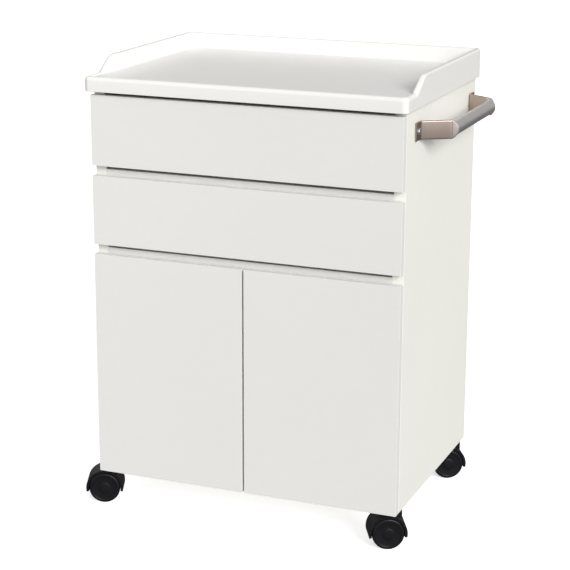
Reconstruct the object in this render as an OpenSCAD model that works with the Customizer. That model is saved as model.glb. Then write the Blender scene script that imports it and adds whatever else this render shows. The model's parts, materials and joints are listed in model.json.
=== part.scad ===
// Bedside cabinet on four twin-wheel casters: two drawers over a two-door cupboard,
// a moulded tray top with a gallery on three sides, and a handle on the right side.
// X runs to the right, Y to the back and Z up. The floor is at z = 0.

/* [Body] */
// Width over the side panels and over the fronts
body_w = 500; // [400:1:600]
// Depth from the face of the fronts to the back edge of the sides
body_d = 368; // [320:1:460]
// Thickness of the side panels, base, divider and rails
board_t = 18; // [16:0.5:22]
// Thickness of the back panel
back_t = 5; // [3:0.5:8]
// Distance from the back edge of the sides to the back panel
back_in = 8; // [4:1:20]
// Depth of the grooves that hold the back panel
back_groove = 6; // [4:0.5:8]
// Floor to the underside of the body
leg_h = 59; // [56:0.5:70]

/* [Fronts] */
// Height of the two doors
door_h = 360; // [280:1:480]
// Height of the lower drawer front
lower_front_h = 108.5; // [86:0.5:160]
// Height of the upper drawer front
upper_front_h = 109.5; // [88:0.5:160]
// Thickness of the doors and drawer fronts
front_t = 12.5; // [12:0.5:20]
// Open strip between one front and the next, for the fingers
finger_gap = 15.5; // [12:0.5:25]
// Slot between the upper drawer front and the tray
top_slot = 5.5; // [3:0.5:8]
// Gap between the two doors
door_gap = 3; // [1.5:0.1:4]
// Gap between the back of a front and the body, filled by the bumpers
front_gap = 1.5; // [1.3:0.1:3]
// Drop from the bottom of a drawer front to the rail below it
rail_drop = 6.5; // [5:0.5:9]
// Depth of the rail between the drawers and of the two top rails
rail_d = 60; // [40:1:80]
// Set-back of the front top rail from the front edge of the sides
top_rail_in = 40; // [20:1:60]

/* [Drawers] */
// Length of the drawer boxes
box_l = 318; // [250:1:325]
// Height of the drawer boxes
box_h = 84; // [60:1:85]
// Height of a drawer box above the bottom of its front
box_up = 6; // [4:0.5:8]
// Thickness of the sides, back and inner front of a box
box_t = 12; // [11:0.5:15]
// Thickness of the drawer bottoms
bottom_t = 5; // [3:0.5:6]
// Height of a drawer bottom above the lower edge of its box
bottom_up = 8; // [6:0.5:12]
// Depth of the grooves that hold the drawer bottoms
bottom_groove = 4; // [3:0.5:5]
// Air between a box and the side panel
box_gap = 1.5; // [1:0.1:3]
// Length of the runners
runner_l = 300; // [220:1:310]
// Height of the runners
runner_h = 14; // [10:0.5:18]
// How far the runners stand out from the side panels
runner_out = 7.5; // [6:0.5:8]
// Set-back of the runners from the front edge of the sides
runner_in = 22; // [15:1:30]
// Air between a runner and its groove, above, below and inside
runner_gap = 0.4; // [0.3:0.05:0.6]

/* [Cupboard] */
// Height of the loose shelf above the base
shelf_up = 155; // [60:1:200]
// Thickness of the loose shelf
shelf_t = 15; // [12:0.5:18]
// Air at each end of the loose shelf
shelf_gap = 1; // [0.5:0.1:2]
// Set-back of the shelf from the front edge of the sides
shelf_in = 25; // [15:1:60]
// Diameter of the shelf pins
pin_d = 5; // [4:0.5:6]
// Depth of a shelf pin in the side panel, and its length outside it
pin_l = 10; // [8:0.5:12]
// Diameter of the hinge cups
cup_d = 35; // [26:1:35]
// Depth of the hinge cups in the door
cup_deep = 9; // [8:0.5:10.5]
// Distance from the door's edge to the middle of a hinge cup
cup_in = 22.5; // [20.5:0.5:24]
// Distance from the ends of a door to its hinges
hinge_in = 70; // [60:1:110]
// Height of a magnetic catch
catch_h = 14; // [10:1:18]
// Distance from the middle of the cupboard to a catch
catch_x = 35; // [28:1:60]

/* [Tray] */
// Overhang of the tray past each side
tray_side = 7; // [2:0.5:15]
// Overhang of the tray past the fronts
tray_front = 8; // [2:0.5:15]
// Overhang of the tray at the back
tray_back = 4; // [0:0.5:15]
// Underside of the tray to its floor
tray_floor_h = 20.5; // [16:0.5:30]
// Rise of the front rim above the floor
tray_rim = 2.5; // [1:0.5:6]
// Width of the front rim
tray_rim_w = 8; // [5:0.5:15]
// Rise of the gallery above the floor
gallery_h = 25; // [15:1:45]
// Width of the gallery at its top
gallery_top = 8.5; // [5:0.5:12]
// Width of the gallery at the floor
gallery_foot = 14.5; // [12.5:0.5:22]
// Distance from the tray's front to where the gallery starts to rise
gallery_start = 46; // [20:1:80]
// Length of the gallery's sloping ends
gallery_slope = 38; // [15:1:60]
// Corner radius of the tray
tray_r = 9; // [6:1:30]
// Thickness of the tray's floor over the hollow underside
tray_skin = 5; // [3:0.5:8]

/* [Handle] */
// Diameter of the grip tube
grip_d = 20.5; // [16:0.5:25]
// Wall of the grip tube
grip_wall = 1.5; // [1:0.1:2.5]
// Length of the grip between the arms
grip_l = 217; // [150:1:240]
// Distance from the side panel to the middle of the grip
grip_out = 42.5; // [35:0.5:60]
// Height of the flattened arms
arm_h = 28; // [24:0.5:32]
// Thickness of the flattened arms
arm_t = 6; // [4:0.5:8]
// How far each arm spreads towards the side panel
arm_spread = 24; // [10:1:35]
// Width of the fixing flanges
flange_w = 18; // [16:1:35]
// Thickness of the fixing flanges
flange_t = 3; // [2:0.5:4]
// Distance from the tray's underside down to the middle of the handle
handle_down = 36; // [25:0.5:80]
// Distance of the handle's middle behind the middle of the body
handle_back = 16.5; // [0:0.5:25]
// Diameter of the handle screws
handle_screw_d = 5; // [4:0.5:6]

/* [Casters] */
// Diameter of the wheels
wheel_d = 50; // [44:1:50]
// Width of one wheel
wheel_w = 16; // [12:0.5:18]
// Thickness of the hood's web between the two wheels
web_t = 7; // [6:0.5:9]
// Air between a wheel and the web, and between a wheel and the hood
wheel_gap = 0.8; // [0.5:0.1:1.5]
// Thickness of the hood over the wheels
hood_t = 4; // [3:0.5:4.5]
// Distance from the stem to the axle
trail = 15; // [12:0.5:18]
// Diameter of the neck
neck_d = 17; // [15:0.5:17.5]
// Diameter of the stem
stem_d = 8; // [7:0.5:8]
// Diameter of the axle
axle_d = 5; // [4:0.5:6]
// Outer diameter of the sockets in the side panels
socket_d = 11; // [10:0.5:12]
// Length of the sockets
socket_l = 34; // [25:1:40]
// Running clearance on the radius of the stems and axles
run_gap = 0.06; // [0.02:0.01:0.1]
// Front casters, from the face of the fronts to the stem
caster_front = 33; // [30:0.5:50]
// Rear casters, from the back edge of the sides to the stem
caster_rear = 23; // [15:0.5:40]
// Heading of the front left caster, from stem to axle
turn_front_left = 202; // [0:1:360]
// Heading of the front right caster
turn_front_right = 207; // [0:1:360]
// Heading of the rear left caster
turn_rear_left = 196; // [0:1:360]
// Heading of the rear right caster
turn_rear_right = 210; // [0:1:360]

/* [Hidden] */
$fn = 64;
WHITE = "#eeede6";
INNER = "#e4e1d6";
TRAY = "#f3f1ea";
STEEL = "#a8a5a0";
ZINC = "#c2c3c4";
BLACK = "#232426";
NYLON = "#dcdad2";
RUBBER = "#8c8c8a";
WOOD = "#cdb389";

EPS = 0.01;         // cutters run this far past the faces they open
SLIP = 0.1;         // clearance on the radius of pins, dowels and screws in their holes
PANEL_SLIP = 0.2;   // clearance of a panel in its groove

dowel_d = 8;
dowel_l = 30;
dowel_deep = 12;     // depth of a dowel in a side panel
bumper_d = 10;
bumper_t = front_gap - 0.2;
bumper_in = 9;       // middle of a bumper from the outer edge of a front
screw_d = 4;         // screws that hold the tray
screw_head_d = 8;
screw_head_t = 2.5;
magnet_w = 30;
magnet_d = 12;
strike_t = 1.2;

// Levels from the floor up
body_z = leg_h;
door_top = body_z + door_h;
lower_z = door_top + finger_gap;
lower_top = lower_z + lower_front_h;
upper_z = lower_top + finger_gap;
upper_top = upper_z + upper_front_h;
tray_z = upper_top + top_slot;
floor_z = tray_z + tray_floor_h;
base_top = body_z + board_t;
divider_top = lower_z - rail_drop;
rail_top = upper_z - rail_drop;
side_h = tray_z - body_z;

// Places across and front to back, about the middle of the body
half_w = body_w / 2;
inner_x = half_w - board_t;
front_y = -body_d / 2;
front_back_y = front_y + front_t;
edge_y = front_back_y + front_gap;
back_y = body_d / 2;
panel_y = back_y - back_in - back_t;
board_d = panel_y - edge_y;

// Drawer boxes
box_x = inner_x - box_gap;
box_inner_x = box_x - box_t;
runner_x = inner_x - runner_out;
runner_y = edge_y + runner_in;
groove_h = runner_h + 2 * runner_gap;

// Doors and hinges
door_w = (body_w - door_gap) / 2;
hinge_z = [body_z + hinge_in, door_top - hinge_in];

// Tray
tray_w = body_w + 2 * tray_side;
tray_d = body_d + tray_front + tray_back;
tray_y0 = front_y - tray_front;
tray_y1 = back_y + tray_back;
gallery_z = floor_z + gallery_h;
screw_x = inner_x - 40;
top_rail_y = [edge_y + top_rail_in, panel_y - rail_d];

// Handle
handle_z = tray_z - handle_down;
grip_x = half_w + grip_out;
arm_root = grip_l / 2 + arm_spread;
flange_mid = arm_root + flange_w / 2;
blend_l = 9;         // length over which the round tube becomes flat

// Casters
wheel_r = wheel_d / 2;
hood_in_r = wheel_r + wheel_gap;
hood_r = hood_in_r + hood_t;
hood_w = web_t + 2 * (wheel_w + wheel_gap) - 1;
wheel_x = web_t / 2 + wheel_gap;
socket_flange_t = 1.5;
neck_top = body_z - socket_flange_t - 0.4;
stem_low = wheel_r + sqrt(hood_in_r * hood_in_r - pow(trail - stem_d / 2, 2)) + 0.6;
caster_x = half_w - board_t / 2;
stem_y_front = front_y + caster_front;
stem_y_rear = back_y - caster_rear;
CASTERS = [
    [-caster_x, stem_y_front, turn_front_left],
    [caster_x, stem_y_front, turn_front_right],
    [-caster_x, stem_y_rear, turn_rear_left],
    [caster_x, stem_y_rear, turn_rear_right]
];

// The origin lies under the middle of the whole object, handle and casters included
function reach(c, axis) =
    let(a = axis == 0 ? abs(cos(c[2])) : abs(sin(c[2])),
        b = axis == 0 ? abs(sin(c[2])) : abs(cos(c[2])))
    hood_r * a + hood_w / 2 * b;
function axle_at(c) = [c[0] + trail * cos(c[2]), c[1] + trail * sin(c[2])];
low_x = min(-tray_w / 2, min([for (c = CASTERS) axle_at(c)[0] - reach(c, 0)]));
high_x = grip_x + grip_d / 2;
low_y = min(tray_y0, min([for (c = CASTERS) axle_at(c)[1] - reach(c, 1)]));
high_y = max(tray_y1, max([for (c = CASTERS) axle_at(c)[1] + reach(c, 1)]));
mid_x = (low_x + high_x) / 2;
mid_y = (low_y + high_y) / 2;

// ---- Shapes used more than once ----

// A box between two opposite corners
module block(a, b) {
    translate([min(a[0], b[0]), min(a[1], b[1]), min(a[2], b[2])])
        cube([abs(b[0] - a[0]), abs(b[1] - a[1]), abs(b[2] - a[2])]);
}

// A rectangle with round corners, from exact circles and squares
module round_rect(w, d, r) {
    square([w - 2 * r, d], center = true);
    square([w, d - 2 * r], center = true);
    for (sx = [-1, 1], sy = [-1, 1])
        translate([sx * (w / 2 - r), sy * (d / 2 - r)]) circle(r);
}

// A rod along X from x0 to x1
module rod_x(x0, x1, y, z, d) {
    translate([min(x0, x1), y, z]) rotate([0, 90, 0]) cylinder(d = d, h = abs(x1 - x0));
}

// A rod along Y from y0 to y1
module rod_y(x, y0, y1, z, d) {
    translate([x, min(y0, y1), z]) rotate([-90, 0, 0]) cylinder(d = d, h = abs(y1 - y0));
}

// Everything is drawn about the middle of the body and moved onto the origin
module place() {
    translate([-mid_x, -mid_y, 0]) children();
}

// ---- Body ----

// Middles of the dowels, as [y, z], the same in both side panels
function dowel_places() = concat(
    [for (y = [edge_y + 50, panel_y - 50]) [y, body_z + board_t / 2]],
    [for (y = [edge_y + 50, panel_y - 50]) [y, divider_top - board_t / 2]],
    [[edge_y + rail_d / 2, rail_top - board_t / 2]],
    [for (y = top_rail_y) [y + rail_d / 2, tray_z - board_t / 2]]
);

module dowel_holes(side) {
    for (p = dowel_places())
        rod_x(side * (inner_x - dowel_l + dowel_deep - 1), side * (inner_x + dowel_deep),
              p[0], p[1], dowel_d + 2 * SLIP);
}

function pin_places() = [for (y = [edge_y + shelf_in + 35, panel_y - 40]) y];
pin_z = base_top + shelf_up - pin_d / 2;

module side_panel(side) {
    color(WHITE) difference() {
        block([side * inner_x, edge_y, body_z], [side * half_w, back_y, tray_z]);
        dowel_holes(side);
        // groove for the back panel
        block([side * (inner_x - 1), panel_y, body_z - 1],
              [side * (inner_x + back_groove), panel_y + back_t + PANEL_SLIP, tray_z + 1]);
        for (y = pin_places())
            rod_x(side * (inner_x - 1), side * (inner_x + pin_l), y, pin_z, pin_d + 2 * SLIP);
        for (y = [stem_y_front, stem_y_rear])
            translate([side * caster_x, y, body_z - 1])
                cylinder(d = socket_d + 2 * SLIP, h = socket_l + 1 + SLIP);
        if (side > 0) {
            for (s = [-1, 1])
                rod_x(half_w - board_t + 3, half_w + 1, handle_back + s * flange_mid, handle_z,
                      handle_screw_d + 2 * SLIP);
        }
    }
}

// A board between the two side panels
module cross_board(y0, y1, top, tone = INNER) {
    color(tone) difference() {
        block([-inner_x, y0, top - board_t], [inner_x, y1, top]);
        for (side = [-1, 1]) dowel_holes(side);
    }
}

module base_panel() { cross_board(edge_y, panel_y, base_top); }

module divider_panel() { cross_board(edge_y, panel_y, divider_top, WHITE); }

module drawer_rail() { cross_board(edge_y, edge_y + rail_d, rail_top, WHITE); }

// The two top rails carry the screws that hold the tray
module top_rail(y) {
    difference() {
        cross_board(y, y + rail_d, tray_z);
        for (x = [-screw_x, screw_x])
            translate([x, y + rail_d / 2, tray_z - board_t - 1])
                cylinder(d = screw_d + 2 * SLIP, h = board_t + 2);
    }
}

module back_panel() {
    reach_x = inner_x + back_groove - PANEL_SLIP;
    color(INNER) block([-reach_x, panel_y, body_z], [reach_x, panel_y + back_t, tray_z]);
}

module dowels() {
    color(WOOD) for (side = [-1, 1], p = dowel_places())
        rod_x(side * (inner_x + dowel_deep - 0.5), side * (inner_x + dowel_deep - dowel_l),
              p[0], p[1], dowel_d);
}

function box_mid_z(z) = z + box_up + box_h / 2;

module drawer_runners() {
    color(NYLON) for (z = [lower_z, upper_z], side = [-1, 1])
        block([side * inner_x, runner_y, box_mid_z(z) - runner_h / 2],
              [side * runner_x, runner_y + runner_l, box_mid_z(z) + runner_h / 2]);
}

// ---- Drawers, each drawn from z, the bottom of its front ----

module bumpers(places) {
    color(RUBBER) for (p = places)
        rod_y(p[0], front_back_y, front_back_y + bumper_t, p[1], bumper_d);
}

module drawer_front(z, h) {
    color(WHITE) block([-half_w, front_y, z], [half_w, front_back_y, z + h]);
}

// The groove that takes the edge of the bottom panel, cut in all four boards
module bottom_slot(z) {
    zb = z + box_up + bottom_up;
    edge = bottom_groove + PANEL_SLIP;
    block([-box_inner_x - edge, front_back_y + box_t - edge, zb],
          [box_inner_x + edge, front_back_y + box_l - box_t + edge, zb + bottom_t + PANEL_SLIP]);
}

module drawer_cross(z, y) {
    color(INNER) difference() {
        block([-box_inner_x, y, z + box_up], [box_inner_x, y + box_t, z + box_up + box_h]);
        bottom_slot(z);
    }
}

module drawer_side(z, side) {
    color(INNER) difference() {
        block([side * box_inner_x, front_back_y, z + box_up],
              [side * box_x, front_back_y + box_l, z + box_up + box_h]);
        bottom_slot(z);
        // groove that rides on the runner, open at the back
        block([side * (runner_x - runner_gap), runner_y - 2, box_mid_z(z) - groove_h / 2],
              [side * (box_x + 1), front_back_y + box_l + 1, box_mid_z(z) + groove_h / 2]);
    }
}

module drawer_bottom(z) {
    zb = z + box_up + bottom_up;
    color(INNER) block(
        [-box_inner_x - bottom_groove, front_back_y + box_t - bottom_groove, zb],
        [box_inner_x + bottom_groove, front_back_y + box_l - box_t + bottom_groove,
         zb + bottom_t]);
}

module drawer_bumpers(z, h) {
    bumpers([for (x = [-half_w + bumper_in, half_w - bumper_in], zz = [z + 20, z + h - 20])
             [x, zz]]);
}

// ---- Doors: side -1 is the left one, hinged at its outer edge ----

module door(side) {
    color(WHITE) difference() {
        block([side * half_w, front_y, body_z], [side * (half_w - door_w), front_back_y, door_top]);
        for (z = hinge_z)
            rod_y(side * (half_w - cup_in), front_back_y - cup_deep, front_back_y + 1, z,
                  cup_d + 2 * SLIP);
    }
}

// Pressed steel cups with a thin rim on the back of the door
module hinge_cups(side) {
    rim_t = 1;
    wall = 1.2;
    color(ZINC) for (z = hinge_z) difference() {
        union() {
            rod_y(side * (half_w - cup_in), front_back_y - cup_deep, front_back_y, z, cup_d);
            intersection() {
                rod_y(side * (half_w - cup_in), front_back_y, front_back_y + rim_t, z, cup_d + 16);
                block([side * (half_w - cup_in - cup_d / 2 - 2), front_back_y - 1, z - cup_d],
                      [side * (half_w - cup_in + cup_d / 2), front_back_y + 2, z + cup_d]);
            }
        }
        rod_y(side * (half_w - cup_in), front_back_y - cup_deep + wall, front_back_y + rim_t + 1,
              z, cup_d - 2 * wall);
    }
}

// Hinge arms: a plate on the side panel and a nose that reaches into the cup
module hinge_arms(side) {
    plate_t = 4;
    arm_w = 14;
    nose_x = inner_x - plate_t - 1.5;
    color(ZINC) for (z = hinge_z) {
        block([side * inner_x, edge_y + 24, z - 24], [side * (inner_x - plate_t), edge_y + 46, z + 24]);
        block([side * (inner_x - plate_t), edge_y + 6, z - arm_w / 2],
              [side * (inner_x - plate_t - 8), edge_y + 62, z + arm_w / 2]);
        block([side * nose_x, front_back_y - 5, z - arm_w / 2 + 2],
              [side * (nose_x - 5), edge_y + 6, z + arm_w / 2 - 2]);
    }
}

// ---- Door catches: a magnet under the divider and a plate on each door ----

catch_top = divider_top - board_t;

module door_catches() {
    color(NYLON) for (s = [-1, 1])
        block([s * (catch_x - magnet_w / 2), edge_y + strike_t - front_gap + 1, catch_top - catch_h],
              [s * (catch_x + magnet_w / 2), edge_y + magnet_d + 6, catch_top]);
}

module strike(side) {
    color(ZINC) block(
        [side * (catch_x - magnet_w / 2 + 2), front_back_y, catch_top - catch_h + 1],
        [side * (catch_x + magnet_w / 2 - 2), front_back_y + strike_t - 0.4, catch_top - 1]);
}

module door_bumpers(side) {
    bumpers([for (z = [body_z + 9, door_top - 12]) [side * (half_w - bumper_in), z]]);
}

// ---- Shelf ----

module shelf() {
    x = inner_x - shelf_gap;
    z = base_top + shelf_up;
    color(INNER) block([-x, edge_y + shelf_in, z], [x, panel_y - 5, z + shelf_t]);
}

module shelf_pins() {
    color(ZINC) for (side = [-1, 1], y = pin_places())
        rod_x(side * (inner_x - pin_l), side * (inner_x + pin_l - 0.5), y, pin_z, pin_d);
}

// ---- Tray top ----

module tray_outline() {
    translate([0, (tray_y0 + tray_y1) / 2]) round_rect(tray_w, tray_d, tray_r);
}

// Outline of the gallery seen from the side, with its sloping front ends
module gallery_side_view() {
    rim_z = floor_z + tray_rim;
    y1 = tray_y0 + gallery_start;
    rotate([90, 0, 90]) translate([0, 0, -tray_w])
        linear_extrude(2 * tray_w)
            polygon([[tray_y0 - 1, floor_z - 1], [tray_y1 + 1, floor_z - 1],
                     [tray_y1 + 1, gallery_z], [y1 + gallery_slope, gallery_z],
                     [y1, rim_z], [tray_y0 - 1, rim_z]]);
}

// Sloping section of the gallery: outer face at 0, the tray's middle at positive values
module gallery_section() {
    polygon([[-1, floor_z - 1], [gallery_foot, floor_z - 1], [gallery_foot, floor_z],
             [gallery_top, gallery_z], [-1, gallery_z]]);
}

module gallery() {
    intersection() {
        translate([0, 0, floor_z - 1]) linear_extrude(gallery_h + 1) tray_outline();
        gallery_side_view();
        union() {
            for (side = [-1, 1])
                translate([side * tray_w / 2, tray_y1 + 1, 0]) mirror([side > 0 ? 1 : 0, 0, 0])
                    rotate([90, 0, 0]) linear_extrude(tray_d + 2) gallery_section();
            translate([-tray_w / 2 - 1, tray_y1, 0]) mirror([0, 1, 0])
                rotate([90, 0, 90]) linear_extrude(tray_w + 2) gallery_section();
            block([-tray_w / 2, tray_y0, floor_z - 1],
                  [tray_w / 2, tray_y0 + tray_rim_w, floor_z + tray_rim]);
        }
    }
}

boss_d = 16;

module tray_top() {
    pocket_top = floor_z - tray_skin;
    color(TRAY) difference() {
        union() {
            translate([0, 0, tray_z]) linear_extrude(tray_floor_h) tray_outline();
            gallery();
        }
        // hollow underside, left solid round the bosses
        difference() {
            block([-inner_x, edge_y, tray_z - 1], [inner_x, panel_y, pocket_top]);
            for (x = [-screw_x, screw_x], y = top_rail_y)
                translate([x, y + rail_d / 2, tray_z - 2]) cylinder(d = boss_d, h = tray_floor_h);
        }
        for (x = [-screw_x, screw_x], y = top_rail_y)
            translate([x, y + rail_d / 2, tray_z - 1])
                cylinder(d = screw_d + 2 * SLIP, h = tray_floor_h - tray_skin + 1);
    }
}

module tray_screws() {
    color(ZINC) for (x = [-screw_x, screw_x], y = top_rail_y) {
        z = tray_z - board_t;
        translate([x, y + rail_d / 2, z - screw_head_t])
            cylinder(d = screw_head_d, h = screw_head_t);
        translate([x, y + rail_d / 2, z - EPS]) cylinder(d = screw_d, h = board_t + 12);
    }
}

// ---- Handle: one tube with its ends pressed flat, bent and screwed to the side ----

module handle_end(s) {
    tip_y = s * (grip_l / 2);
    root_y = s * arm_root;
    // flat arm, from the side panel out to the grip
    translate([0, 0, handle_z - arm_h / 2]) linear_extrude(arm_h) {
        polygon([[half_w, root_y], [half_w, root_y - s * arm_t],
                 [grip_x - arm_t / 2, tip_y - s * arm_t], [grip_x + arm_t / 2, tip_y]]);
        // flange on the side panel
        translate([half_w, min(root_y, s * (arm_root + flange_w))])
            square([flange_t, flange_w]);
    }
    // the flat end swells into the round tube
    hull() {
        rod_y(grip_x, tip_y - s * blend_l, tip_y - s * (blend_l + 0.5), handle_z, grip_d, $fn = 32);
        block([grip_x - arm_t / 2, tip_y - s * arm_t, handle_z - arm_h / 2],
              [grip_x + arm_t / 2, tip_y - s * (arm_t - 2), handle_z + arm_h / 2]);
    }
}

module handle() {
    color(STEEL) translate([0, handle_back, 0]) difference() {
        union() {
            for (s = [-1, 1]) handle_end(s);
            rod_y(grip_x, -grip_l / 2 + blend_l, grip_l / 2 - blend_l, handle_z, grip_d);
        }
        rod_y(grip_x, -grip_l / 2 + blend_l + 3, grip_l / 2 - blend_l - 3, handle_z,
              grip_d - 2 * grip_wall);
        for (s = [-1, 1])
            rod_x(half_w - 1, half_w + flange_t + 1, s * flange_mid, handle_z,
                  handle_screw_d + 2 * SLIP);
    }
}

module handle_screws() {
    color(ZINC) for (s = [-1, 1]) {
        y = handle_back + s * flange_mid;
        rod_x(half_w - board_t + 4, half_w + flange_t + EPS, y, handle_z, handle_screw_d);
        difference() {
            rod_x(half_w + flange_t, half_w + flange_t + 3, y, handle_z, 10);
            block([half_w + flange_t + 1.4, y - 2.6, handle_z - 0.6],
                  [half_w + flange_t + 4, y + 2.6, handle_z + 0.6]);
            block([half_w + flange_t + 1.4, y - 0.6, handle_z - 2.6],
                  [half_w + flange_t + 4, y + 0.6, handle_z + 2.6]);
        }
    }
}

// ---- Casters ----

module caster_sockets() {
    color(ZINC) for (c = CASTERS) translate([c[0], c[1], 0]) difference() {
        union() {
            translate([0, 0, body_z - EPS]) cylinder(d = socket_d, h = socket_l);
            translate([0, 0, body_z - socket_flange_t])
                cylinder(d = neck_d, h = socket_flange_t);
        }
        translate([0, 0, body_z - socket_flange_t - 1])
            cylinder(d = stem_d + 2 * SLIP, h = socket_l + socket_flange_t - 1);
    }
}

module caster_stems() {
    color(STEEL) for (c = CASTERS) translate([c[0], c[1], stem_low])
        cylinder(d = stem_d, h = body_z + socket_l - 3 - stem_low);
}

// Each caster is drawn with its stem at the origin and its axle at [trail, 0, wheel_r]
module at_caster(i) {
    translate([CASTERS[i][0], CASTERS[i][1], 0]) rotate(CASTERS[i][2]) children();
}

module axle_line() {
    translate([trail, 0, wheel_r]) rotate([90, 0, 0]) children();
}

module hood(i) {
    // how far the shell comes down past the axle, in degrees, and the web, in mm
    droop = 12;
    web_low = 3;
    web_r = hood_in_r + 1;
    color(BLACK) at_caster(i) difference() {
        union() {
            // shell over both wheels
            axle_line() translate([0, 0, -hood_w / 2]) rotate(-droop)
                rotate_extrude(angle = 180 + 2 * droop)
                    translate([hood_in_r, 0]) square([hood_t, hood_w]);
            // web between the wheels
            axle_line() translate([0, 0, -web_t / 2]) {
                difference() {
                    cylinder(r = web_r, h = web_t);
                    translate([-2 * web_r, -4 * web_r - web_low, -web_t])
                        cube([4 * web_r, 4 * web_r, 3 * web_t]);
                }
                cylinder(r = 8, h = web_t);
            }
            // neck, cut off inside the shell
            difference() {
                translate([0, 0, wheel_r + 10]) cylinder(d = neck_d, h = neck_top - wheel_r - 10);
                axle_line() translate([0, 0, -hood_w])
                    cylinder(r = hood_in_r + hood_t / 2, h = 2 * hood_w);
            }
        }
        translate([0, 0, stem_low - 0.4]) cylinder(d = stem_d + 2 * run_gap, h = 40);
        axle_line() translate([0, 0, -web_t]) cylinder(d = axle_d, h = 2 * web_t);
    }
}

axle_half = web_t / 2 + wheel_gap + wheel_w - 3;

module axle(i) {
    color(STEEL) at_caster(i) axle_line() translate([0, 0, -axle_half])
        cylinder(d = axle_d, h = 2 * axle_half);
}

// A nylon wheel with a rounded tread, dished face and a blind hole for the axle
module wheel(i, s) {
    r = wheel_r;
    crown = 3;
    color(BLACK) at_caster(i) axle_line() mirror([0, 0, s > 0 ? 0 : 1]) translate([0, 0, wheel_x])
        rotate_extrude() difference() {
            union() {
                square([r - crown, wheel_w]);
                translate([0, crown]) square([r, wheel_w - 2 * crown]);
                for (z = [crown, wheel_w - crown]) translate([r - crown, z]) circle(crown);
            }
            translate([-r, -r]) square([r, 3 * r]);
            square([axle_d / 2 + run_gap, wheel_w - 2.6]);
            // hollow inner face and shallow outer dish
            translate([8, -1]) square([r - 13, 6]);
            translate([0, wheel_w - 0.8]) square([r - 8, 1]);
        }
}

// ---- The whole part, one line a node ----

place() side_panel(-1);  // side_panel_left
place() side_panel(1);  // side_panel_right
place() base_panel();
place() back_panel();
place() divider_panel();
place() drawer_rail();
place() top_rail(top_rail_y[0]);  // top_rail_front
place() top_rail(top_rail_y[1]);  // top_rail_rear
place() dowels();
place() drawer_runners();

place() drawer_front(upper_z, upper_front_h);  // upper_drawer_front
place() drawer_cross(upper_z, front_back_y);  // upper_drawer_inner_front
place() drawer_cross(upper_z, front_back_y + box_l - box_t);  // upper_drawer_back
place() drawer_side(upper_z, -1);  // upper_drawer_side_left
place() drawer_side(upper_z, 1);  // upper_drawer_side_right
place() drawer_bottom(upper_z);  // upper_drawer_bottom
place() drawer_bumpers(upper_z, upper_front_h);  // upper_drawer_bumpers

place() drawer_front(lower_z, lower_front_h);  // lower_drawer_front
place() drawer_cross(lower_z, front_back_y);  // lower_drawer_inner_front
place() drawer_cross(lower_z, front_back_y + box_l - box_t);  // lower_drawer_back
place() drawer_side(lower_z, -1);  // lower_drawer_side_left
place() drawer_side(lower_z, 1);  // lower_drawer_side_right
place() drawer_bottom(lower_z);  // lower_drawer_bottom
place() drawer_bumpers(lower_z, lower_front_h);  // lower_drawer_bumpers

place() door(-1);  // door_left
place() door(1);  // door_right
place() hinge_cups(-1);  // hinge_cups_left
place() hinge_cups(1);  // hinge_cups_right
place() hinge_arms(-1);  // hinge_arms_left
place() hinge_arms(1);  // hinge_arms_right
place() door_catches();
place() strike(-1);  // strike_left
place() strike(1);  // strike_right
place() door_bumpers(-1);  // door_bumpers_left
place() door_bumpers(1);  // door_bumpers_right
place() shelf();
place() shelf_pins();

place() tray_top();
place() tray_screws();
place() handle();
place() handle_screws();
place() caster_sockets();
place() caster_stems();

place() hood(0);  // hood_front_left
place() axle(0);  // axle_front_left
place() wheel(0, -1);  // wheel_front_left_a
place() wheel(0, 1);  // wheel_front_left_b
place() hood(1);  // hood_front_right
place() axle(1);  // axle_front_right
place() wheel(1, -1);  // wheel_front_right_a
place() wheel(1, 1);  // wheel_front_right_b
place() hood(2);  // hood_rear_left
place() axle(2);  // axle_rear_left
place() wheel(2, -1);  // wheel_rear_left_a
place() wheel(2, 1);  // wheel_rear_left_b
place() hood(3);  // hood_rear_right
place() axle(3);  // axle_rear_right
place() wheel(3, -1);  // wheel_rear_right_a
place() wheel(3, 1);  // wheel_rear_right_b
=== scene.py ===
"""Bedside cabinet on casters: the finished pieces, their materials and the stage."""

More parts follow.
